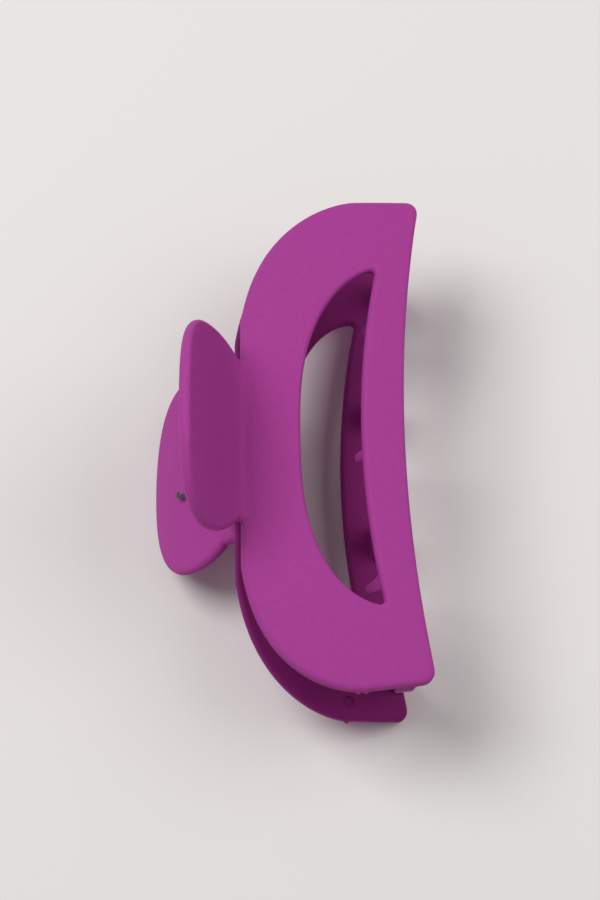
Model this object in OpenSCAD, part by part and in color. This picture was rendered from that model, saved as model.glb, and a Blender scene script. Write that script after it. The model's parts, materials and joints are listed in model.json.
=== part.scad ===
// Half-moon claw clip, lying closed on its back jaw, in millimetres.
// Everything is drawn about the hinge: X runs to the jaw tips, Y along the pin, and Z is square
// to the plane midway between the jaws. lay_flat() then puts the clip down on its back jaw.

/* [Jaw outline] */
// Length of the clip along its hinge
jaw_length = 110; // [100:1:116]
// Depth of a jaw from its hinge edge to its corners
jaw_depth = 39; // [38:0.5:41]
// Depth at which the jaw is longest
shoulder_x = 25; // [23:0.5:27]
// Fullness of the rounded ends, 2 being an ellipse
end_fullness = 3.6; // [3:0.1:4]
// How far the tip edge bows in at the middle
tip_bow = 5; // [4:0.5:6]
// Radius of the two tip corners
corner_r = 2.6; // [2:0.2:3.2]
// Depth at which the jaw's hinge side runs straight
hinge_edge = 1.1; // [0.9:0.1:1.3]

/* [Opening] */
// Length of the D-shaped opening
opening_length = 75.5; // [70:0.5:78]
// Depth at which the opening starts
opening_near = 13; // [12:0.5:14]
// Depth of the opening's corners
opening_far = 29.3; // [28:0.1:30]
// How far the opening's tip side bows in at the middle
opening_bow = 4; // [3:0.5:5]

/* [Jaw sheet] */
// Thickness of the moulding
wall = 2.6; // [2.4:0.1:2.8]
// Height of the sheet's middle above the mid-plane at the hinge edge
hinge_rise = 5.2; // [5:0.1:5.6]
// Height of the sheet's middle above the mid-plane at the tip
tip_rise = 16; // [15:0.5:17]
// Radius of the sheet's bow from hinge to tip
bow_r = 170; // [140:10:220]
// Distance from the hinge to the upright axis that the sheet is turned about
dome_x = 195; // [160:5:220]
// Depth of the lip under the front jaw's tip edge
lip_depth = 3; // [2:0.5:3.5]
// Width of that lip at its middle
lip_w = 2.4; // [2:0.1:2.6]
// Height of the two front and one back gate marks on the rim
gate_h = 0.4; // [0.2:0.1:0.5]

/* [Lever] */
// Angle of the thumb lever to the mid-plane at its root
lever_angle = 39.6; // [38:0.2:41]
// Radius of the lever's bend
lever_r = 35.2; // [34:0.2:38]
// Angle to the mid-plane of the flat that the lever's oval is drawn on
oval_angle = 50; // [48:1:52]
// Reach of the oval from the crease
lever_reach = 26.8; // [25:0.2:27.4]
// Length of the oval along the hinge
lever_length = 45.2; // [43:0.2:47]
// Fullness of the oval, 2 being an ellipse
lever_fullness = 2.1; // [2:0.1:2.4]
// Distance from the crease to the middle of the oval
lever_middle = 11.3; // [10.5:0.1:12]
// Radius of the fillet in the crease
crease_r = 2.5; // [2:0.1:3]

/* [Teeth] */
// Distance between a jaw's neighbouring teeth
tooth_pitch = 29.6; // [28:0.2:30]
// Distance that the teeth cross the mid-plane
tooth_cross = 1.2; // [0.5:0.1:2]
// Length of a tooth's root along the tip edge
tooth_root = 8.4; // [7:0.2:10]
// Depth from the hinge to the front teeth's points
front_point_x = 26.9; // [26:0.1:28]
// Depth from the hinge to the back teeth's points
back_point_x = 31.6; // [31:0.1:32.4]

/* [Hinge] */
// Radius of the steel pin
pin_r = 1; // [0.8:0.05:1.2]
// Running clearance between the pin and the front lugs
pin_play = 0.05; // [0.02:0.01:0.1]
// Radius of the lugs round the pin
lug_r = 3; // [2.8:0.1:3.2]
// Width of one lug
lug_w = 3; // [2.5:0.1:3.2]
// Gap between neighbouring lugs
lug_gap = 0.3; // [0.2:0.05:0.5]
// Radius of the spring wire
wire_r = 0.5; // [0.4:0.05:0.6]
// Mean radius of the spring's coil
coil_r = 2.4; // [2.3:0.05:2.5]
// Distance from the middle to each spring leg
leg_y = 5.3; // [5:0.1:5.4]
// Length of each spring leg
leg_reach = 16.5; // [12:0.5:17]

/* [Hidden] */
$fn = 96;
plastic = "#a43c94";
steel = "#737274";
half = jaw_length / 2;
shoulder_drop = 1.4;              // how far the ends close in from the shoulder to the corner
corner_lean = 11.3;               // angle of the end edge to the X axis at the corner
side_fullness = 1.85;             // roundness of the hinge side, 2 being an ellipse
corner_y = half - shoulder_drop;
tip_r = (corner_y * corner_y + tip_bow * tip_bow) / (2 * tip_bow);
tip_cx = jaw_depth - tip_bow + tip_r;
opening_half = opening_length / 2;
opening_run = 0.7;                // how far the outline runs on before the bowed side trims it
near_power = 1.1;                 // roundness of the opening's hinge side
end_power = 0.76;                 // roundness of the opening's ends
opening_r = (opening_half * opening_half + opening_bow * opening_bow) / (2 * opening_bow);
opening_cx = opening_far - opening_bow + opening_r;

// Centre of the sheet's bow, from its two ends and its radius
chord = sqrt(jaw_depth * jaw_depth + pow(tip_rise - hinge_rise, 2));
chord_angle = atan2(tip_rise - hinge_rise, jaw_depth);
bow_off = sqrt(bow_r * bow_r - chord * chord / 4);
bow_x = jaw_depth / 2 + bow_off * sin(chord_angle);
bow_z = (hinge_rise + tip_rise) / 2 - bow_off * cos(chord_angle);

// The crease: the sheet's line and the lever's line meet, and one fillet joins them
sheet_angle = asin(bow_x / bow_r);
lever_rise = hinge_rise + 1.4;    // height at which the lever's line passes over the pin
meet = (lever_rise - hinge_rise) / (tan(sheet_angle) + tan(lever_angle));
meet_z = hinge_rise + meet * tan(sheet_angle);
bend_mid = crease_r + wall / 2;
bend_half = (sheet_angle + lever_angle) / 2;
bend_dir = 90 - (lever_angle - sheet_angle) / 2;
bend_x = meet + bend_mid / cos(bend_half) * cos(bend_dir);
bend_z = meet_z + bend_mid / cos(bend_half) * sin(bend_dir);
root_len = bend_mid * tan(bend_half);
root_x = meet - root_len * cos(lever_angle);
root_z = meet_z + root_len * sin(lever_angle);
lever_cx = root_x + lever_r * sin(lever_angle);
lever_cz = root_z + lever_r * cos(lever_angle);
lever_run = lever_reach - wall / 2
    + (lever_cx - meet) * cos(oval_angle) - (lever_cz - meet_z) * sin(oval_angle);
end_angle = oval_angle + asin(lever_run / lever_r);
lever_half = lever_length / 2;
lever_u = lever_reach - lever_middle;
crease_u = meet / cos(oval_angle);
oval_start = 180 - acos(pow((lever_middle - crease_u) / lever_u, lever_fullness / 2));
root_half = lever_half * pow(sin(oval_start), 2 / lever_fullness);

// Lying down: the end of the back lever and the corners of the back jaw touch the surface
end_x = lever_cx - lever_r * sin(end_angle);
end_z = lever_cz - lever_r * cos(end_angle);
tip_x = jaw_depth - tip_bow;
lie_angle = 14.13;
lie_x = 10.46;                     // puts the origin under the middle of the clip's box
lie_z = wall / 2 + end_z * cos(lie_angle) + end_x * sin(lie_angle);

leg_angle = lever_angle + 6.2;    // each spring leg just clears the inside of its lever
groove_r = wire_r + 0.3;          // relief for the leg in the heel of the jaw
groove_reach = 9;
leg_sink = 0.1;                   // how far a leg sits inside the coil's outline, to join it cleanly
sheet_top = hinge_rise + lug_r * tan(sheet_angle) - 0.4;
front_lug_y = leg_y + 1.2;
back_lug_y = front_lug_y + lug_w + lug_gap;
pin_half = back_lug_y + lug_w + 0.3;
front_teeth = [-1, 0, 1];         // in pitches from the middle
back_teeth = [-1.5, -0.5, 0.5, 1.5];
front_root_half = 2.7;            // half of a tooth's thickness at its root
back_root_half = 1.2;
point_half_w = 1.1;               // half of a tooth's width and thickness at its point
point_half_t = 0.8;
tooth_inset = 0.2;                // how far the teeth stand behind the tip edge
lip_x = tip_x - lip_w - 0.2;
lip_r = 1000;                     // radius of the lip's outer side, seen square on
front_gates = [23.8, 25.3];         // depths of the gate marks from the hinge
back_gates = [25];
gate_r = 0.45;
lap = 3;                          // degrees that neighbouring bends overlap, to join as one
far = 80;                         // larger than the clip in every direction

// Height of the sheet over the mid-plane at depth x, moved off its middle by off
function bow_height(x, off = 0) = bow_z + sqrt(pow(bow_r + off, 2) - pow(x - bow_x, 2));

// Half of a tooth's width along the tip edge at the share s of its way from root to point
function tooth_half(s) = point_half_w + (tooth_root / 2 - point_half_w) * pow(1 - s, 1.3);

// A point of a tooth's middle line, from the root (s = 0) to the point (s = 1)
function fang_line(s, root, point) =
    let (bend = [root[0] - 0.3, point[1] + 6])
    (1 - s) * (1 - s) * root + 2 * s * (1 - s) * bend + s * s * point;

module lay_flat()
    translate([-lie_x, gate_h / 2, lie_z]) rotate([0, lie_angle, 0]) children();

// The jaw seen square on: a flat-sided D with a bowed tip edge
module jaw_face() {
    arc_x = jaw_depth - corner_r * (cos(corner_lean) + sin(corner_lean));
    arc_y = corner_y - corner_r * (cos(corner_lean) - sin(corner_lean));
    difference() {
        polygon(concat(
            [for (a = [90 - corner_lean : -18 : -corner_lean])
                [arc_x + corner_r * cos(a), arc_y + corner_r * sin(a)]],
            [for (a = [corner_lean : -18 : corner_lean - 90])
                [arc_x + corner_r * cos(a), corner_r * sin(a) - arc_y]],
            [for (a = [-90 : 6 : 90])
                [max(hinge_edge, shoulder_x * (1 - pow(cos(a), 2 / side_fullness))),
                 sign(a) * half * pow(abs(sin(a)), 2 / end_fullness)]]
        ));
        translate([tip_cx, 0]) circle(r = tip_r, $fn = 240);
    }
}

// The opening seen square on
module opening_face() {
    reach = opening_far + opening_run;
    difference() {
        polygon([for (a = [-90 : 6 : 90])
            [reach - (reach - opening_near) * pow(cos(a), near_power),
             sign(a) * opening_half * pow(abs(sin(a)), end_power)]]);
        translate([opening_cx, 0]) circle(r = opening_r, $fn = 240);
    }
}

// The bowed sheet that a jaw is cut from, turned about the upright axis at dome_x; it
// reaches below its middle by under
module jaw_sheet(under = wall / 2) {
    steps = 8;
    start = -2;
    depths = [for (i = [0 : steps]) start + (jaw_depth + 3 - start) * i / steps];
    sector = 44;
    translate([dome_x, 0, 0]) rotate([0, 0, 180 - sector / 2]) rotate_extrude(angle = sector)
        polygon(concat(
            [for (i = [0 : steps]) [dome_x - depths[i], bow_height(depths[i], wall / 2)]],
            [for (i = [steps : -1 : 0]) [dome_x - depths[i], bow_height(depths[i], -under)]]
        ));
}

// The lip that stiffens the front jaw's tip edge from inside, a little wider at its ends
module tip_lip() {
    intersection() {
        jaw_sheet(wall / 2 + lip_depth);
        linear_extrude(far) intersection() {
            jaw_face();
            difference() {
                translate([lip_x, -half]) square([2 * lip_w, jaw_length]);
                translate([lip_x + lip_w + lip_r, 0]) circle(r = lip_r, $fn = 240);
            }
        }
    }
}

// A row of pointed teeth under the tip bar, curved in towards the hinge
module teeth(places, root_half_w, point_x) {
    steps = 7;
    sector = 22;
    root = [tip_x - tooth_inset - root_half_w, bow_height(tip_x - 8)];
    point = [point_x, -tooth_cross];
    rise = point[1] - root[1];
    intersection() {
        translate([tip_cx, 0, 0]) rotate([0, 0, 180 - sector / 2]) rotate_extrude(angle = sector)
            polygon(concat(
                [for (i = [0 : steps]) fang_edge(i / steps, root, point, root_half_w)],
                [for (i = [steps : -1 : 0]) fang_edge(i / steps, root, point, -root_half_w)]
            ));
        for (p = places)
            translate([0, p * tooth_pitch, 0]) rotate([90, 0, 90]) linear_extrude(far)
                polygon(concat(
                    [for (i = [0 : steps]) [tooth_half(i / steps), root[1] + rise * i / steps]],
                    [for (i = [steps : -1 : 0]) [-tooth_half(i / steps), root[1] + rise * i / steps]]
                ));
    }
}

// A point of a tooth's outer (w > 0) or inner (w < 0) edge, as radius and height
function fang_edge(s, root, point, w) =
    let (p = fang_line(s, root, point))
    [tip_cx - p[0] - sign(w) * (point_half_t + (abs(w) - point_half_t) * pow(1 - s, 1.5)), p[1]];

// The thumb lever: a bent sheet trimmed to an oval, joined to the jaw by the crease
module lever() {
    intersection() {
        union() {
            band(lever_cx, lever_cz, lever_r - wall / 2, lever_r + wall / 2,
                -90 - end_angle, -90 - lever_angle + lap / 6);
            translate([end_x, 0, end_z]) rotate([90, 0, 0])
                cylinder(r = wall / 2, h = 2 * lever_half, center = true);
            band(bend_x, bend_z, crease_r, crease_r + wall,
                -90 - lever_angle - lap, -90 + sheet_angle + lap);
        }
        translate([meet, 0, meet_z]) rotate([0, 180 + oval_angle, 0])
            translate([0, 0, -far / 2]) linear_extrude(far)
            polygon(concat(
                [for (a = [-90 : 6 : 90]) lever_oval(a)],
                [[-bend_mid, root_half], [-bend_mid, -root_half]]
            ));
    }
}

// The lever's oval, as the distance from the crease and the distance along the hinge
function lever_oval(a) =
    let (t = a * oval_start / 90, power = 2 / lever_fullness)
    [lever_middle + lever_u * sign(cos(t)) * pow(abs(cos(t)), power),
     lever_half * sign(sin(t)) * pow(abs(sin(t)), power)];

// A sheet bent round a centre in the XZ plane, between two angles
module band(x, z, r_in, r_out, from, to) {
    translate([x, 0, z]) rotate([90, 0, 0]) difference() {
        intersection() {
            cylinder(r = r_out, h = 2 * lever_half, center = true, $fn = 240);
            translate([0, 0, -lever_half]) linear_extrude(2 * lever_half)
                polygon([[0, 0], 2 * r_out * [cos(from), sin(from)],
                    2 * r_out * [cos((from + to) / 2), sin((from + to) / 2)],
                    2 * r_out * [cos(to), sin(to)]]);
        }
        cylinder(r = r_in, h = far, center = true, $fn = 240);
    }
}

// Two lugs that carry the pin, with their webs up to the crease
module lugs(y) {
    for (side = [-1, 1])
        translate([0, side * (y + lug_w / 2), 0]) rotate([90, 0, 0]) {
            cylinder(r = lug_r, h = lug_w, center = true);
            translate([0, 0, -lug_w / 2]) linear_extrude(lug_w)
                polygon([[-lug_r, 0], [lug_r, 0], [lug_r, sheet_top], [-lug_r / 2, bend_z - crease_r]]);
        }
}

// One jaw with its hinge lugs at lug_y and the bore for the pin
module jaw(lug_y, bore_r, tooth_places, root_half_w, point_x, gate_places) {
    difference() {
        union() {
            intersection() {
                linear_extrude(far) difference() {
                    jaw_face();
                    opening_face();
                }
                jaw_sheet();
            }
            teeth(tooth_places, root_half_w, point_x);
            lever();
            lugs(lug_y);
            for (x = gate_places)
                translate([x, 1 - half, bow_height(dome_x - norm([dome_x - x, half]))])
                    rotate([90, 0, 0]) cylinder(r = gate_r, h = 1 + gate_h);
        }
        rotate([90, 0, 0]) cylinder(r = bore_r, h = far, center = true);
        for (side = [-1, 1]) translate([0, side * leg_y, 0]) spring_leg(groove_r, groove_reach);
    }
}

// A straight leg of the spring, from its coil towards the front lever
module spring_leg(r, length)
    translate([(coil_r - leg_sink) * sin(leg_angle), 0, (coil_r - leg_sink) * cos(leg_angle)])
        rotate([0, leg_angle - 90, 0]) cylinder(r = r, h = length);

module front_jaw()
    color(plastic) lay_flat() {
        jaw(front_lug_y, pin_r + pin_play, front_teeth, front_root_half, front_point_x, front_gates);
        tip_lip();
    }

module back_jaw()
    color(plastic) lay_flat() mirror([0, 0, 1])
        jaw(back_lug_y, pin_r, back_teeth, back_root_half, back_point_x, back_gates);

module hinge_pin()
    color(steel) lay_flat() rotate([90, 0, 0]) cylinder(r = pin_r, h = 2 * pin_half, center = true);

// The spring's coil as a sleeve, with a straight leg to the inside of each lever
module torsion_spring() {
    coil_half = leg_y + wire_r + leg_sink;
    color(steel) lay_flat() {
        rotate([90, 0, 0]) difference() {
            cylinder(r = coil_r + wire_r, h = 2 * coil_half, center = true);
            cylinder(r = coil_r - wire_r, h = far, center = true);
        }
        translate([0, leg_y, 0]) spring_leg(wire_r, leg_reach);
        translate([0, -leg_y, 0]) mirror([0, 0, 1]) spring_leg(wire_r, leg_reach);
    }
}

front_jaw();
back_jaw();
hinge_pin();
torsion_spring();
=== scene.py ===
"""Looks for a half-moon claw clip that lies closed on its back jaw.

Each jaw is meshed from one distance field, in millimetres about the hinge: X runs to the jaws'
tips, Y along the pin, and Z is square to the plane midway between the jaws. Both fields are worked
out on the +Z side, each with its own teeth, lugs and marks, and the back jaw is then mirrored in
Z. place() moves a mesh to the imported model's frame, in metres.
"""
import math

import bpy
import numpy as np
from mathutils import Matrix, Vector
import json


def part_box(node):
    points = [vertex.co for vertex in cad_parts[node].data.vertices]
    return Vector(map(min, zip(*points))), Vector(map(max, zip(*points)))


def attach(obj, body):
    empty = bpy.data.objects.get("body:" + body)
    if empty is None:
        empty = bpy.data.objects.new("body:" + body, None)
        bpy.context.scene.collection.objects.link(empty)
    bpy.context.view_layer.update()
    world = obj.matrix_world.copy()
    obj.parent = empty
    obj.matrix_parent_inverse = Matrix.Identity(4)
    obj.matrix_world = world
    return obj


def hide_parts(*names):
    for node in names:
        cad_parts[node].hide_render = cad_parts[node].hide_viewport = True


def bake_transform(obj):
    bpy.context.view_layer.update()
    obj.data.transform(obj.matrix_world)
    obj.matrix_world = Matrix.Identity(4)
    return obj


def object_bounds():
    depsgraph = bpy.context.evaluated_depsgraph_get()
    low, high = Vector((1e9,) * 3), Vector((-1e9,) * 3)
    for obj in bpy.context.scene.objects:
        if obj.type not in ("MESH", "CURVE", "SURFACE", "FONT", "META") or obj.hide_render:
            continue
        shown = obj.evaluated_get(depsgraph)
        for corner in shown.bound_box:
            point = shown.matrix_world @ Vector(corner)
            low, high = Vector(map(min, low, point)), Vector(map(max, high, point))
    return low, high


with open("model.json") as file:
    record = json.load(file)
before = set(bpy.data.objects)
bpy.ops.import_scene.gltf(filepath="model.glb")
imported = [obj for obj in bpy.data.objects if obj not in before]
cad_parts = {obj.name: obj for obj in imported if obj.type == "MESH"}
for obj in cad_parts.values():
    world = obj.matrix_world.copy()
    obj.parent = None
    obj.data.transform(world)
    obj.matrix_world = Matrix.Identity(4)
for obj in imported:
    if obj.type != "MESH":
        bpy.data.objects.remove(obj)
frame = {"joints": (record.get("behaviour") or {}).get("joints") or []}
cad_low, cad_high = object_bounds()

MM = 0.001

# The clip's own frame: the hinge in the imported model, and the angle at which the clip lies
HINGE = Vector(frame["joints"][0]["pos_m"])
LIE_ANGLE = math.radians(14.13)

# Jaw outline, millimetres
HALF_LENGTH = 55.0
DEPTH = 39.0
SHOULDER_X = 25.0
HINGE_EDGE = 1.1
SIDE_FULLNESS = 1.85
END_FULLNESS = 3.6
TIP_BOW = 5.0
SHOULDER_DROP = 1.4
CORNER_LEAN = math.radians(11.3)
CORNER_R = 2.6
CORNER_Y = HALF_LENGTH - SHOULDER_DROP
TIP_R = (CORNER_Y ** 2 + TIP_BOW ** 2) / (2 * TIP_BOW)
TIP_CX = DEPTH - TIP_BOW + TIP_R
TIP_X = DEPTH - TIP_BOW

# Opening
WINDOW_HALF = 37.75
WINDOW_NEAR = 13.0
WINDOW_FAR = 30.0
WINDOW_CORNER_X = 29.3
WINDOW_BOW = 4.0
WINDOW_R = (WINDOW_HALF ** 2 + WINDOW_BOW ** 2) / (2 * WINDOW_BOW)
WINDOW_CX = WINDOW_CORNER_X - WINDOW_BOW + WINDOW_R
WINDOW_ROUND = 1.3
WINDOW_SIDE_POWER = 1.1
WINDOW_END_POWER = 0.76

# Bowed sheet, turned about an upright axis
WALL = 2.6
HINGE_RISE = 5.2
TIP_RISE = 16.0
BOW_R = 170.0
TURN_X = 195.0
CHORD = math.hypot(DEPTH, TIP_RISE - HINGE_RISE)
CHORD_ANGLE = math.atan2(TIP_RISE - HINGE_RISE, DEPTH)
BOW_OFF = math.sqrt(BOW_R ** 2 - CHORD ** 2 / 4)
BOW_X = DEPTH / 2 + BOW_OFF * math.sin(CHORD_ANGLE)
BOW_Z = (HINGE_RISE + TIP_RISE) / 2 - BOW_OFF * math.cos(CHORD_ANGLE)
LIP_DEPTH = 3.0
LIP_WIDTH = 2.4
LIP_X = TIP_X - LIP_WIDTH - 0.2
LIP_R = 1000.0
LIP_EDGE_R = 0.7
LIP_END_R = 0.6

# Lever and crease
LEVER_ANGLE = math.radians(39.6)
LEVER_R = 35.2
OVAL_ANGLE = math.radians(50)
LEVER_REACH = 26.8
LEVER_HALF = 22.6
LEVER_FULLNESS = 2.1
LEVER_MIDDLE = 11.3
LEVER_U = LEVER_REACH - LEVER_MIDDLE
CREASE_R = 2.5
CREASE_LAP = 0.5
LEVER_RISE = HINGE_RISE + 1.4
SHEET_ANGLE = math.asin(BOW_X / BOW_R)
MEET_X = (LEVER_RISE - HINGE_RISE) / (math.tan(SHEET_ANGLE) + math.tan(LEVER_ANGLE))
MEET_Z = HINGE_RISE + MEET_X * math.tan(SHEET_ANGLE)
BEND_MID = CREASE_R + WALL / 2
BEND_HALF = (SHEET_ANGLE + LEVER_ANGLE) / 2
BEND_DIR = math.pi / 2 - (LEVER_ANGLE - SHEET_ANGLE) / 2
BEND_X = MEET_X + BEND_MID / math.cos(BEND_HALF) * math.cos(BEND_DIR)
BEND_Z = MEET_Z + BEND_MID / math.cos(BEND_HALF) * math.sin(BEND_DIR)
ROOT_LEN = BEND_MID * math.tan(BEND_HALF)
ROOT_X = MEET_X - ROOT_LEN * math.cos(LEVER_ANGLE)
ROOT_Z = MEET_Z + ROOT_LEN * math.sin(LEVER_ANGLE)
LEVER_CX = ROOT_X + LEVER_R * math.sin(LEVER_ANGLE)
LEVER_CZ = ROOT_Z + LEVER_R * math.cos(LEVER_ANGLE)
LEVER_RUN = (LEVER_REACH - WALL / 2 + (LEVER_CX - MEET_X) * math.cos(OVAL_ANGLE)
             - (LEVER_CZ - MEET_Z) * math.sin(OVAL_ANGLE))
END_ANGLE = OVAL_ANGLE + math.asin(LEVER_RUN / LEVER_R)
END_X = LEVER_CX - LEVER_R * math.sin(END_ANGLE)
END_Z = LEVER_CZ - LEVER_R * math.cos(END_ANGLE)
CREASE_U = MEET_X / math.cos(OVAL_ANGLE)
ROOT_HALF = LEVER_HALF * (1 - ((LEVER_MIDDLE - CREASE_U) / LEVER_U) ** LEVER_FULLNESS) ** (
    1 / LEVER_FULLNESS)

# Hinge, pin and spring
LUG_R = 3.0
LUG_WIDTH = 3.0
LUG_GAP = 0.3
LEG_Y = 5.3
FRONT_LUG_Y = LEG_Y + 1.2
BACK_LUG_Y = FRONT_LUG_Y + LUG_WIDTH + LUG_GAP
PIN_R = 1.0
BORE_R = 1.05
WIRE_R = 0.5
COIL_R = 2.4
COIL_TURNS = 10
COIL_STEPS = 28
LEG_ANGLE = LEVER_ANGLE + math.radians(6.2)
LEG_REACH = 17.3
LEG_START = 0.6
LEG_POINTS = 24
HOOK_R = 0.6
HOOK_END = 0.15
GROOVE_R = 0.8
GROOVE_REACH = 9.0

# Teeth: the places are in pitches from the middle
TOOTH_PITCH = 29.6
TOOTH_ROOT = 8.4
TOOTH_CROSS = 1.2
TOOTH_INSET = 0.2
TOOTH_TOP_IN = 8.0
TOOTH_BEND_IN = 0.3
TOOTH_BEND_UP = 6.0
TOOTH_THICK_POWER = 1.5
TOOTH_WIDTH_POWER = 1.3
POINT_HALF_WIDTH = 1.1
POINT_HALF_THICK = 0.8

FRONT = {
    "node": "front_jaw", "body": "front", "side": 1, "lug_y": FRONT_LUG_Y,
    "teeth": [-1, 0, 1], "root_half": 2.7, "point_x": 26.9, "gates": [23.8, 25.3], "pins": [],
    "lip": True,
}
BACK = {
    "node": "back_jaw", "body": "back", "side": -1, "lug_y": BACK_LUG_Y,
    "teeth": [-1.5, -0.5, 0.5, 1.5], "root_half": 1.2, "point_x": 31.6, "gates": [25],
    "pins": [(25.5, -50.8), (25.5, 50.8), (8.0, -28.0), (8.0, 28.0)], "lip": False,
}

# Gate marks on one end of each rim
GATE_R = 0.45
GATE_HEIGHT = 0.4
GATE_SUNK = 0.6

# Ejector pins' marks inside the back jaw
PIN_MARK_R = 1.1
PIN_MARK_DEPTH = 0.7

# Rims paler with rubbed coat and painted highlight, and inner faces darker with bare plastic and
# painted shade
WORN_AND_LIT_WIDTH = 1.3
INNER_FADE = 1.6
INNER_DEPTH = 3
INNER_FROM_X = 1.0

# Linear colours
COAT_DARK = (0.400, 0.049, 0.299)
COAT_PALE = (0.420, 0.055, 0.315)
COAT_SPECK = (0.55, 0.13, 0.45)
# Paler rims: rubbed coat and a painted highlight where the rims catch the light
COAT_WORN_AND_LIT = (0.48, 0.070, 0.37)
# Inward faces: darker bare plastic and painted shade
INNER_PLASTIC_AND_SHADE = (0.20, 0.011, 0.128)
STEEL_DARK = (0.13, 0.125, 0.13)
STEEL_PALE = (0.20, 0.195, 0.20)
FLOOR_COLOUR = (0.88, 0.85, 0.83)

# Mesh: its cells, and the box that holds a whole jaw
CELL = 0.4
JAW_LOW = (-17.5, -55.8, -4.2)
JAW_HIGH = (39.8, 55.8, 30.6)

# Rounded edges
EDGE_R = 1.05
LEVER_EDGE_R = 1.25
ROOT_CORNER_R = 0.6
TOOTH_EDGE_R = 0.6
LUG_EDGE_R = 0.4
GATE_EDGE_R = 0.1
PIN_MARK_EDGE_R = 0.15
PIN_MARK_FLOOR_R = 0.2

# Fillets where the parts of a jaw meet
LIP_FILLET = 0.5
TOOTH_FILLET = 0.6
LUG_FILLET = 0.7
GATE_FILLET = 0.3


# ---------------------------------------------------------------- distance fields, millimetres

def both(a, b, r):
    """Where a and b are both inside, with the edge between them rounded to radius r."""
    corner = np.hypot(np.maximum(a + r, 0), np.maximum(b + r, 0))
    return np.minimum(np.maximum(a, b), -r) + corner


def either(a, b, r):
    """Where a or b is inside, with the corner between them filled over about r."""
    h = np.clip(0.5 + (b - a) / (2 * r), 0, 1)
    return b * (1 - h) + a * h - r * h * (1 - h)


def outline_distance(px, py, points):
    """Signed distance from (px, py) to a closed outline, negative inside."""
    best = np.full(np.broadcast(px, py).shape, 1e9)
    inside = np.zeros(best.shape, bool)
    for (ax, ay), (bx, by) in zip(points, np.roll(points, -1, 0)):
        ex, ey = bx - ax, by - ay
        length = ex * ex + ey * ey
        if length < 1e-12:
            continue
        t = np.clip(((px - ax) * ex + (py - ay) * ey) / length, 0, 1)
        best = np.minimum(best, (px - ax - t * ex) ** 2 + (py - ay - t * ey) ** 2)
        if ay != by:
            crosses = ((ay <= py) != (by <= py)) & (px < ax + (py - ay) * ex / ey)
            inside ^= crosses
    return np.where(inside, -1, 1) * np.sqrt(best)


class Outline:
    """An outline's signed distance, tabulated once over a grid and then looked up."""

    step = 0.2

    def __init__(self, points, low, high):
        self.low = low
        xs = np.arange(low[0], high[0], self.step)
        ys = np.arange(low[1], high[1], self.step)
        self.table = outline_distance(xs[:, None], ys[None, :], np.array(points))

    def __call__(self, x, y):
        u = np.clip((x - self.low[0]) / self.step, 0, self.table.shape[0] - 1.001)
        v = np.clip((y - self.low[1]) / self.step, 0, self.table.shape[1] - 1.001)
        u, v = np.broadcast_arrays(u, v)
        i, j = u.astype(int), v.astype(int)
        s, t = u - i, v - j
        t00, t10 = self.table[i, j], self.table[i + 1, j]
        t01, t11 = self.table[i, j + 1], self.table[i + 1, j + 1]
        return (t00 * (1 - s) + t10 * s) * (1 - t) + (t01 * (1 - s) + t11 * s) * t


def arc(cx, cy, r, start, end, count):
    """Points along an arc about (cx, cy)."""
    return [(cx + r * math.cos(a), cy + r * math.sin(a)) for a in np.linspace(start, end, count)]


def face_points():
    """The jaw seen square on: a flat-sided D with rounded corners and a bowed tip edge."""
    lean = CORNER_LEAN
    cx = DEPTH - CORNER_R * (math.cos(lean) + math.sin(lean))
    cy = CORNER_Y - CORNER_R * (math.cos(lean) - math.sin(lean))
    side = []
    for a in np.linspace(-math.pi / 2, math.pi / 2, 121):
        y = HALF_LENGTH * abs(math.sin(a)) ** (2 / END_FULLNESS)
        x = SHOULDER_X * (1 - max(math.cos(a), 0) ** (2 / SIDE_FULLNESS))
        side.append((max(HINGE_EDGE, x), math.copysign(y, a)))
    reach = math.asin((cy + CORNER_R * math.sin(-lean)) / TIP_R)
    bow = arc(TIP_CX, 0, TIP_R, math.pi + reach, math.pi - reach, 41)
    return (side + arc(cx, cy, CORNER_R, math.pi / 2 - lean, -lean, 9)
            + [(x, -y) for x, y in bow] + arc(cx, -cy, CORNER_R, lean, lean - math.pi / 2, 9))


def window_points():
    """The opening seen square on, before its bowed tip side trims it."""
    points = []
    for a in np.linspace(-math.pi / 2, math.pi / 2, 121):
        x = WINDOW_FAR - (WINDOW_FAR - WINDOW_NEAR) * max(math.cos(a), 0) ** WINDOW_SIDE_POWER
        y = WINDOW_HALF * abs(math.sin(a)) ** WINDOW_END_POWER
        points.append((x, math.copysign(y, a)))
    return points


TABLE_LOW = (-6, -0.4)
TABLE_HIGH = (46, 60)
FACE = Outline(face_points(), TABLE_LOW, TABLE_HIGH)
WINDOW_SIDE = Outline(window_points(), TABLE_LOW, TABLE_HIGH)

# The lug's web as (x, z) points, up to just inside the sheet and the bend
WEB_SHORT = 0.4
SHEET_TOP = HINGE_RISE + LUG_R * math.tan(SHEET_ANGLE) - WEB_SHORT
LUG_WEB = np.array([(-LUG_R, 0), (LUG_R, 0), (LUG_R, SHEET_TOP), (-LUG_R / 2, BEND_Z - CREASE_R)])


def bow_height(x):
    """Height of the sheet's middle at depth x, on the clip's centre line."""
    return BOW_Z + math.sqrt(BOW_R ** 2 - (x - BOW_X) ** 2)


def sheet_gap(x, y, z):
    """Distance outward from the middle of the bowed sheet."""
    turned = TURN_X - np.hypot(TURN_X - x, y)
    return np.hypot(turned - BOW_X, z - BOW_Z) - BOW_R


def rim_distance(x, y):
    """Distance outward from the jaw's outline and its opening, negative on the sheet."""
    away = np.abs(y)
    window = both(WINDOW_SIDE(x, away), WINDOW_R - np.hypot(WINDOW_CX - x, y), WINDOW_ROUND)
    return np.maximum(FACE(x, away), -window)


def plate_field(x, y, z):
    """The D-shaped sheet with its opening."""
    return both(np.abs(sheet_gap(x, y, z)) - WALL / 2, rim_distance(x, y), EDGE_R)


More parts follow.
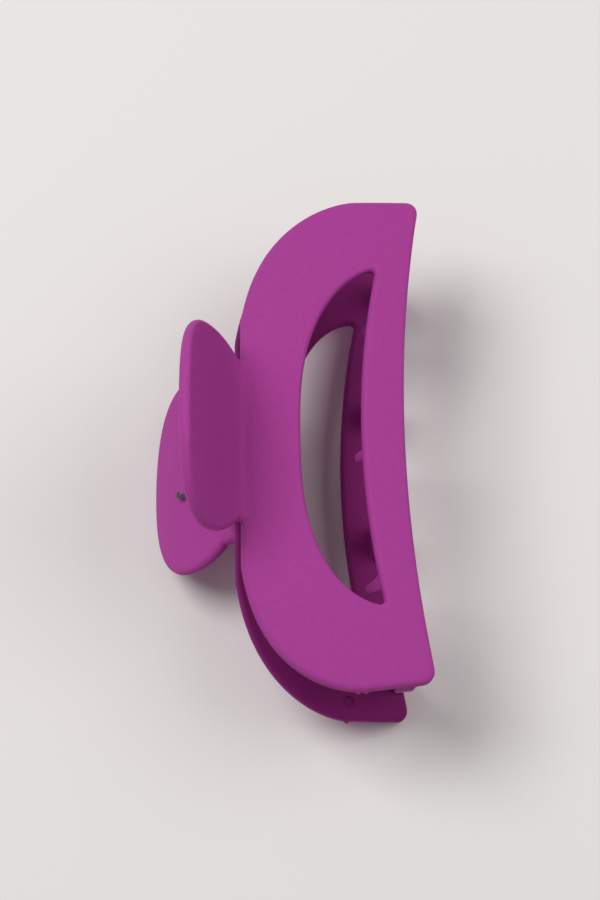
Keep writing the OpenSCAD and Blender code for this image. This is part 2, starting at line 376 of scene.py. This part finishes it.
def lip_field(x, y, z):
    """The lip under the tip edge: straight inside, a little wider at its ends."""
    outer = LIP_R - np.hypot(LIP_X + LIP_WIDTH + LIP_R - x, y)
    strip = both(np.maximum(LIP_X - x, outer), FACE(x, np.abs(y)), LIP_END_R)
    depth = WALL / 2 + LIP_DEPTH
    return both(strip, np.abs(sheet_gap(x, y, z) + depth / 2) - depth / 2, LIP_EDGE_R)


def lever_field(x, y, z):
    """The oval thumb lever and the bend that joins it to the sheet."""
    past_root = (x - ROOT_X) * math.cos(LEVER_ANGLE) - (z - ROOT_Z) * math.sin(LEVER_ANGLE)
    blade = np.abs(np.hypot(x - LEVER_CX, z - LEVER_CZ) - LEVER_R) - WALL / 2
    past_end = (z - END_Z) * math.sin(END_ANGLE) - (x - END_X) * math.cos(END_ANGLE)
    blade = both(np.maximum(blade, past_root - CREASE_LAP), past_end - WALL / 2, LEVER_EDGE_R)

    # The bend leaves the lever straight and meets the turned sheet on its own curve
    bend_end_x = BEND_X + BEND_MID * math.sin(SHEET_ANGLE)
    bend_end_z = BEND_Z - BEND_MID * math.cos(SHEET_ANGLE)
    share = np.clip((x - ROOT_X) / (bend_end_x - ROOT_X), 0, 1)
    turned = x + share * (TURN_X - np.hypot(TURN_X - x, y) - x)
    past_sheet = ((turned - bend_end_x) * math.cos(SHEET_ANGLE)
                  + (z - bend_end_z) * math.sin(SHEET_ANGLE))
    bend = np.abs(np.hypot(turned - BEND_X, z - BEND_Z) - BEND_MID) - WALL / 2
    bend = np.maximum(np.maximum(bend, -past_root - CREASE_LAP), past_sheet - CREASE_LAP)

    along = (z - MEET_Z) * math.sin(OVAL_ANGLE) - (x - MEET_X) * math.cos(OVAL_ANGLE)
    u, v = np.abs(along - LEVER_MIDDLE) / LEVER_U, np.abs(y) / LEVER_HALF
    least = 0.05
    size = np.maximum((u ** LEVER_FULLNESS + v ** LEVER_FULLNESS) ** (1 / LEVER_FULLNESS), least)
    power = LEVER_FULLNESS - 1
    slope = np.hypot((u / size) ** power / LEVER_U, (v / size) ** power / LEVER_HALF)
    oval = (size - 1) / slope
    strip = np.maximum(np.abs(y) - ROOT_HALF, along - CREASE_U)
    return both(np.minimum(blade, bend), either(oval, strip, ROOT_CORNER_R), LEVER_EDGE_R)


def tooth_field(x, y, z, pitches, root_half, point_x):
    """One tooth that curves from behind the tip edge in towards the hinge."""
    root = (TIP_X - TOOTH_INSET - root_half, bow_height(TIP_X - TOOTH_TOP_IN))
    point = (point_x, -TOOTH_CROSS)
    bend = (root[0] - TOOTH_BEND_IN, point[1] + TOOTH_BEND_UP)
    depth = TIP_CX - np.hypot(TIP_CX - x, y)
    down = np.clip((z - root[1]) / (point[1] - root[1]), 0, 1)
    a = root[1] - 2 * bend[1] + point[1]
    b = 2 * (bend[1] - root[1])
    c = root[1] - np.clip(z, point[1], root[1])
    s = np.clip((-b - np.sqrt(np.maximum(b * b - 4 * a * c, 0))) / (2 * a), 0, 1)
    middle = (1 - s) ** 2 * root[0] + 2 * s * (1 - s) * bend[0] + s * s * point[0]
    thick = POINT_HALF_THICK + (root_half - POINT_HALF_THICK) * (1 - s) ** TOOTH_THICK_POWER
    taper = (1 - down) ** TOOTH_WIDTH_POWER
    width = POINT_HALF_WIDTH + (TOOTH_ROOT / 2 - POINT_HALF_WIDTH) * taper

    # Level gaps, cut down to about the true distances from the sloping faces
    face_share, side_share = 0.88, 0.95
    across = both((np.abs(depth - middle) - thick) * face_share,
                  (np.abs(y - pitches * TOOTH_PITCH) - width) * side_share, TOOTH_EDGE_R)
    ends = np.maximum(point[1] - z, z - root[1])
    return both(across, ends, TOOTH_EDGE_R)


def lug_field(x, y, z, lug_y):
    """The two lugs that carry the pin."""
    across = np.abs(np.abs(y) - lug_y - LUG_WIDTH / 2) - LUG_WIDTH / 2
    web = outline_distance(x, z, LUG_WEB)
    return both(across, np.minimum(np.hypot(x, z) - LUG_R, web), LUG_EDGE_R)


def groove_field(x, y, z):
    """The relief that each spring leg passes through in the heel of the jaw."""
    sx, sz = COIL_R * math.sin(LEG_ANGLE), COIL_R * math.cos(LEG_ANGLE)
    dx, dz = -math.cos(LEG_ANGLE), math.sin(LEG_ANGLE)
    along = np.clip((x - sx) * dx + (z - sz) * dz, 0, GROOVE_REACH)
    off = np.hypot(x - sx - along * dx, z - sz - along * dz)
    return np.hypot(off, np.abs(y) - LEG_Y) - GROOVE_R


def gate_field(x, y, z, gate_x):
    """The stub that a cut gate leaves on the rim's end."""
    height = bow_height(TURN_X - math.hypot(TURN_X - gate_x, HALF_LENGTH))
    across = np.hypot(x - gate_x, z - height) - GATE_R
    half = GATE_SUNK / 2
    return both(across, np.abs(y + HALF_LENGTH - half) - half - GATE_HEIGHT, GATE_EDGE_R)


def jaw_field(jaw):
    """The whole field of one jaw, as a function of x, y and z."""
    def field(x, y, z):
        f = np.minimum(plate_field(x, y, z), lever_field(x, y, z))
        if jaw["lip"]:
            f = either(f, lip_field(x, y, z), LIP_FILLET)
        for pitches in jaw["teeth"]:
            tooth = tooth_field(x, y, z, pitches, jaw["root_half"], jaw["point_x"])
            f = either(f, tooth, TOOTH_FILLET)
        f = either(f, lug_field(x, y, z, jaw["lug_y"]), LUG_FILLET)
        for gate_x in jaw["gates"]:
            f = either(f, gate_field(x, y, z, gate_x), GATE_FILLET)
        for px, py in jaw["pins"]:
            dimple = both(np.hypot(x - px, y - py) - PIN_MARK_R,
                          sheet_gap(x, y, z) + WALL / 2 - PIN_MARK_DEPTH, PIN_MARK_FLOOR_R)
            f = both(f, -dimple, PIN_MARK_EDGE_R)
        f = np.maximum(f, -groove_field(x, y, z))
        return np.maximum(f, BORE_R - np.hypot(x, z))
    return field


# ---------------------------------------------------------------- meshing

def surface_net(field, low, high, step):
    """Quads over the field's zero surface: one point in each cell that it passes through."""
    axes = [np.arange(low[k], high[k] + step, step) for k in range(3)]
    x, y, z = np.meshgrid(*axes, indexing="ij", sparse=True)
    values = field(x, y, z)
    shape = np.array(values.shape)
    inside = values < 0
    spots, cells, quads = [], [], []
    for k in range(3):
        first = [slice(None)] * 3
        first[k] = slice(0, -1)
        second = [slice(None)] * 3
        second[k] = slice(1, None)
        start = np.argwhere(inside[tuple(first)] != inside[tuple(second)])
        f0 = values[tuple(first)][tuple(start.T)]
        f1 = values[tuple(second)][tuple(start.T)]
        spot = start.astype(float)
        spot[:, k] += f0 / (f0 - f1)
        p, q = (k + 1) % 3, (k + 2) % 3
        ring = []
        for dp, dq in ((0, 0), (1, 0), (1, 1), (0, 1)):
            cell = start.copy()
            cell[:, p] -= dp
            cell[:, q] -= dq
            ring.append(np.ravel_multi_index(tuple(cell.T), shape))
            spots.append(spot)
            cells.append(ring[-1])
        ring = np.stack(ring, 1)
        flip = f0 > 0
        ring[flip] = ring[flip][:, ::-1]
        quads.append(ring)
    spots, cells, quads = np.concatenate(spots), np.concatenate(cells), np.concatenate(quads)
    names, owner = np.unique(cells, return_inverse=True)
    count = np.bincount(owner)
    points = np.stack([np.bincount(owner, spots[:, k]) / count for k in range(3)], 1)
    origin = np.array([a[0] for a in axes])
    return origin + points * step, np.searchsorted(names, quads)


def slope_of(field, points, reach=0.03):
    """The field's gradient at some points."""
    columns = []
    for k in range(3):
        shift = np.zeros(3)
        shift[k] = reach
        ahead, behind = (points + shift).T, (points - shift).T
        columns.append((field(*ahead) - field(*behind)) / (2 * reach))
    return np.stack(columns, 1)


def settle(field, points, quads, rounds=3):
    """Draws the points onto the surface and evens them out along it."""
    edges = np.concatenate([quads[:, [i, (i + 1) % 4]] for i in range(4)])
    a, b = np.concatenate([edges, edges[:, ::-1]]).T
    near = np.bincount(a, minlength=len(points))[:, None]
    for turn in range(rounds + 1):
        for _ in range(2):
            slope = slope_of(field, points)
            square = np.maximum((slope ** 2).sum(1), 0.2)
            pull = field(*points.T) / square
            points = points - np.clip(pull, -CELL, CELL)[:, None] * slope
        if turn == rounds:
            return points, slope
        mean = np.stack([np.bincount(a, points[b, k], len(points)) for k in range(3)], 1) / near
        normal = slope / np.sqrt(np.maximum((slope ** 2).sum(1), 1e-6))[:, None]
        move = mean - points
        move -= (move * normal).sum(1)[:, None] * normal
        points = points + 0.5 * move


def place(points, side=1):
    """From the clip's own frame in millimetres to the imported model's frame in metres."""
    x, y, z = points.T * MM
    z = z * side
    cos, sin = math.cos(LIE_ANGLE), math.sin(LIE_ANGLE)
    return np.stack([HINGE.x + x * cos + z * sin, HINGE.y + y, HINGE.z - x * sin + z * cos], 1)


def new_piece(name, points, faces, body, node, material):
    """A visual piece that replaces a node; with no body, it is left unattached."""
    mesh = bpy.data.meshes.new(name)
    mesh.from_pydata(points.tolist(), [], [list(map(int, face)) for face in faces])
    mesh.validate()
    mesh.update()
    mesh.shade_smooth()
    piece = bpy.data.objects.new(name, mesh)
    bpy.context.scene.collection.objects.link(piece)
    mesh.materials.append(material)
    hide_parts(node)
    if body:
        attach(piece, body)
    return piece


def mark(piece, name, values):
    """Gives each point of a piece a number that its material can read."""
    layer = piece.data.attributes.new(name, "FLOAT", "POINT")
    layer.data.foreach_set("value", np.asarray(values, np.float32))


# ---------------------------------------------------------------- materials

def new_material(name):
    material = bpy.data.materials.new(name)
    material.use_nodes = True
    nodes, links = material.node_tree.nodes, material.node_tree.links
    return material, nodes, links, nodes["Principled BSDF"]


def noise(nodes, links, scale, detail=4.0):
    """Noise over the object, with scale in waves to the metre."""
    where = nodes.new("ShaderNodeTexCoord")
    node = nodes.new("ShaderNodeTexNoise")
    node.inputs["Scale"].default_value = scale
    node.inputs["Detail"].default_value = detail
    node.inputs["Roughness"].default_value = 0.55
    links.new(where.outputs["Object"], node.inputs["Vector"])
    return node.outputs["Fac"]


def read_mark(nodes, name):
    """The number that mark() gave each point under this name."""
    node = nodes.new("ShaderNodeAttribute")
    node.attribute_name = name
    return node.outputs["Fac"]


def ramp(nodes, links, fac, low, high, from_value, to_value):
    """Maps low to high onto two other values."""
    node = nodes.new("ShaderNodeMapRange")
    node.inputs["From Min"].default_value = low
    node.inputs["From Max"].default_value = high
    node.inputs["To Min"].default_value = from_value
    node.inputs["To Max"].default_value = to_value
    links.new(fac, node.inputs["Value"])
    return node.outputs["Result"]


def mix(nodes, links, fac, a, b):
    """Mixes two colours, each a tuple or another node's output."""
    node = nodes.new("ShaderNodeMix")
    node.data_type = "RGBA"
    links.new(fac, node.inputs["Factor"])
    for socket, value in (("A", a), ("B", b)):
        found = [s for s in node.inputs if s.name == socket and s.type == "RGBA"][0]
        if isinstance(value, tuple):
            found.default_value = (*value, 1)
        else:
            links.new(value, found)
    return [s for s in node.outputs if s.type == "RGBA"][0]


def soft_touch_plastic():
    """Purple moulding with a matt rubbery coat: grained, mottled, specked, paler at its rims and
    darker inside.

    The mark edge paints the outer rims paler, for rubbed coat and a painted highlight where the
    rims catch the light; the mark inner paints the faces that look inward darker, for bare plastic
    and painted shade.
    """
    material, nodes, links, shader = new_material("soft_touch_plastic")
    mottling = ramp(nodes, links, noise(nodes, links, 1100), 0.3, 0.7, 0, 1)
    coat = mix(nodes, links, mottling, COAT_DARK, COAT_PALE)
    specks = ramp(nodes, links, noise(nodes, links, 1900, 1.0), 0.75, 0.78, 0, 0.3)
    coat = mix(nodes, links, specks, coat, COAT_SPECK)
    # Painted highlight with rubbed coat: paler towards the outer rims
    worn_and_lit = ramp(nodes, links, read_mark(nodes, "edge"), 0, 1, 0, 0.3)
    coat = mix(nodes, links, worn_and_lit, coat, COAT_WORN_AND_LIT)
    # Painted shade, with darker bare plastic, on the faces that look inward
    inner = ramp(nodes, links, read_mark(nodes, "inner"), 0, 1, 0, 0.9)
    coat = mix(nodes, links, inner, coat, INNER_PLASTIC_AND_SHADE)
    links.new(coat, shader.inputs["Base Color"])
    smudge = ramp(nodes, links, noise(nodes, links, 1300, 3.0), 0.4, 0.7, 0.50, 0.58)
    links.new(smudge, shader.inputs["Roughness"])
    shader.inputs["Specular IOR Level"].default_value = 0.06
    grain = nodes.new("ShaderNodeBump")
    grain.inputs["Strength"].default_value = 0.12
    grain.inputs["Distance"].default_value = 0.00004
    links.new(noise(nodes, links, 5200, 2.0), grain.inputs["Height"])
    links.new(grain.outputs["Normal"], shader.inputs["Normal"])
    return material


def drawn_steel():
    """Dark wire and rod, uneven in tone and sheen."""
    material, nodes, links, shader = new_material("drawn_steel")
    tone = ramp(nodes, links, noise(nodes, links, 900), 0.3, 0.7, 0, 1)
    links.new(mix(nodes, links, tone, STEEL_DARK, STEEL_PALE), shader.inputs["Base Color"])
    shader.inputs["Metallic"].default_value = 1.0
    sheen = ramp(nodes, links, noise(nodes, links, 2600), 0.3, 0.7, 0.28, 0.45)
    links.new(sheen, shader.inputs["Roughness"])
    return material


def floor_material():
    material, _, _, shader = new_material("pale_floor")
    shader.inputs["Base Color"].default_value = (*FLOOR_COLOUR, 1)
    shader.inputs["Roughness"].default_value = 0.9
    return material


# ---------------------------------------------------------------- pieces

def jaw_piece(jaw, material):
    """One jaw's moulding, marked where its rims get paint for wear and a highlight, and where it
    faces inward and gets painted shade.
    """
    field = jaw_field(jaw)
    points, quads = surface_net(field, JAW_LOW, JAW_HIGH, CELL)
    points, slope = settle(field, points, quads)
    gap = sheet_gap(*points.T)
    # Painted shade, with darker bare plastic: how far a point lies on the sheet's inward side,
    # past the hinge
    inner = np.clip(0.5 - gap / INNER_FADE, 0, 1) * np.clip(INNER_DEPTH + gap, 0, 1)
    inner *= points[:, 0] > INNER_FROM_X
    # Painted highlight with rubbed coat: nearness to the rim, on the outer faces only
    edge = np.clip(1 + rim_distance(points[:, 0], points[:, 1]) / WORN_AND_LIT_WIDTH, 0, 1)
    edge *= gap > 0
    faces = quads if jaw["side"] > 0 else quads[:, ::-1]
    piece = new_piece(jaw["node"] + "_moulding", place(points, jaw["side"]), faces,
                      jaw["body"], jaw["node"], material)
    mark(piece, "inner", inner)
    mark(piece, "edge", edge)
    return piece


def tube(path, radius, sides=16):
    """Points and faces of a round wire along a path, with domed ends."""
    path = np.asarray(path, float)
    ahead = np.gradient(path, axis=0)
    ahead /= np.linalg.norm(ahead, axis=1)[:, None]
    side = np.eye(3)[np.argmin(np.abs(ahead[0]))]
    rings, faces = [], []

    # Where each ring sits, its share of the radius, and how far it is pushed out for a dome
    dome = [(0.25, 0.9), (0.7, 0.6), (0.93, 0.25)]
    stations = [(0, share, -push) for share, push in dome]
    stations += [(i, 1.0, 0.0) for i in range(len(path))]
    stations += [(-1, share, push) for share, push in reversed(dome)]
    for i, share, push in stations:
        t = ahead[i]
        side = side - t * side.dot(t)
        side /= np.linalg.norm(side)
        other = np.cross(t, side)
        for k in range(sides):
            a = 2 * math.pi * k / sides
            rings.append(path[i] + t * push * radius
                         + radius * share * (side * math.cos(a) + other * math.sin(a)))
    for r in range(len(stations) - 1):
        for k in range(sides):
            m = (k + 1) % sides
            faces.append([r * sides + k, r * sides + m, (r + 1) * sides + m, (r + 1) * sides + k])
    faces.append(list(range(sides))[::-1])
    last = (len(stations) - 1) * sides
    faces.append([last + k for k in range(sides)])
    return np.array(rings), faces


def leg_path(y, side):
    """A leg's middle line from its coil to its hooked end, for side +1 (front) or -1 (back)."""
    start = np.array([COIL_R * math.sin(LEG_ANGLE), y, side * COIL_R * math.cos(LEG_ANGLE)])
    out = np.array([-math.cos(LEG_ANGLE), 0, side * math.sin(LEG_ANGLE)])
    inward = np.array([0, -math.copysign(1, y), 0])
    points = [start + out * t for t in np.linspace(LEG_START, LEG_REACH - HOOK_R, LEG_POINTS)]
    knee = points[-1]
    for a in np.linspace(15, 75, 5):
        turn = math.radians(a)
        points.append(knee + out * HOOK_R * math.sin(turn)
                      + inward * HOOK_R * (1 - math.cos(turn)))
    points.append(points[-1] + inward * HOOK_END)
    return points


def spring_piece(material):
    """The torsion spring: its coil winds from the back leg at -Y to the front leg at +Y."""
    start = LEG_ANGLE - math.pi / 2
    total = 2 * math.pi * COIL_TURNS - 2 * start
    count = COIL_TURNS * COIL_STEPS
    coil = []
    for i in range(count + 1):
        share = i / count
        a = start + total * share
        coil.append((COIL_R * math.cos(a), -LEG_Y + 2 * LEG_Y * share, COIL_R * math.sin(a)))
    path = leg_path(-LEG_Y, -1)[::-1] + coil + leg_path(LEG_Y, 1)
    points, faces = tube(path, WIRE_R)
    piece = new_piece("spring_wire", place(points), faces,
                      None, "torsion_spring", material)
    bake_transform(piece)
    return piece


def pin_piece(material):
    """The hinge pin: drawn rod with chamfered, slightly dished ends."""
    low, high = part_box("hinge_pin")
    half = (high.y - low.y) / 2 / MM
    profile = [(0.0, half - 0.12), (0.45, half - 0.1), (0.7, half), (0.82, half),
               (PIN_R, half - 0.18), (PIN_R, half - 0.6), (PIN_R, 0.0)]
    profile += [(r, -h) for r, h in profile[-2::-1]]
    sides = 48
    tiny = 0.02
    points, faces = [], []
    for r, h in profile:
        for k in range(sides):
            a = 2 * math.pi * k / sides
            points.append((max(r, tiny) * math.cos(a), h, max(r, tiny) * math.sin(a)))
    for i in range(len(profile) - 1):
        for k in range(sides):
            m = (k + 1) % sides
            faces.append([i * sides + k, i * sides + m, (i + 1) * sides + m, (i + 1) * sides + k])
    last = (len(profile) - 1) * sides
    faces += [list(range(sides))[::-1], [last + k for k in range(sides)]]
    return new_piece("pin_rod", place(np.array(points)), faces,
                     "back", "hinge_pin", material)


# ---------------------------------------------------------------- stage

def add_floor(material):
    """A wide floor just under the clip."""
    size, drop = 3.0, 0.0002
    mesh = bpy.data.meshes.new("floor")
    mesh.from_pydata([(-size, -size, 0), (size, -size, 0), (size, size, 0), (-size, size, 0)], [],
                     [(0, 1, 2, 3)])
    mesh.materials.append(material)
    floor = bpy.data.objects.new("floor", mesh)
    bpy.context.scene.collection.objects.link(floor)
    floor.location.z = -drop


def add_light(name, position, size, power):
    """A square area light that faces the frame's origin."""
    data = bpy.data.lights.new(name, "AREA")
    data.shape = "SQUARE"
    data.size = size
    data.energy = power
    light = bpy.data.objects.new(name, data)
    light.location = position
    light.rotation_euler = (-Vector(position)).to_track_quat("-Z", "Y").to_euler()
    bpy.context.scene.collection.objects.link(light)


def add_camera():
    """The photograph's view, from high over the clip's -Y end."""
    azimuth, elevation, roll = math.radians(12.94), math.radians(66.83), math.radians(-14.89)
    distance = 0.44756
    shift_x, shift_y = 4.17 * MM, -1.56 * MM
    middle = (cad_low + cad_high) / 2
    aim = Vector((middle.x + shift_x, middle.y + shift_y, middle.z))
    back = Vector((math.sin(azimuth) * math.cos(elevation),
                   -math.cos(azimuth) * math.cos(elevation), math.sin(elevation)))
    data = bpy.data.cameras.new("camera")
    data.lens = 85.7
    data.clip_start = 0.01
    camera = bpy.data.objects.new("camera", data)
    turn = (-back).to_track_quat("-Z", "Y").to_matrix().to_4x4()
    camera.matrix_world = (Matrix.Translation(aim + back * distance) @ turn
                           @ Matrix.Rotation(roll, 4, "Z"))
    bpy.context.scene.collection.objects.link(camera)
    bpy.context.scene.camera = camera


def add_world():
    """Even white light from all round."""
    world = bpy.data.worlds.new("studio")
    world.use_nodes = True
    background = world.node_tree.nodes["Background"]
    background.inputs["Color"].default_value = (1, 1, 1, 1)
    background.inputs["Strength"].default_value = 0.25
    bpy.context.scene.world = world


plastic = soft_touch_plastic()
steel = drawn_steel()
for jaw in (FRONT, BACK):
    jaw_piece(jaw, plastic)
pin_piece(steel)
spring_piece(steel)

add_floor(floor_material())
add_light("key", position=(-0.42, 0.22, 0.83), size=0.55, power=5.3)
add_light("fill", position=(0.5, 0.05, 0.55), size=0.5, power=1.5)
add_camera()
add_world()
bpy.context.scene.view_settings.view_transform = "Standard"
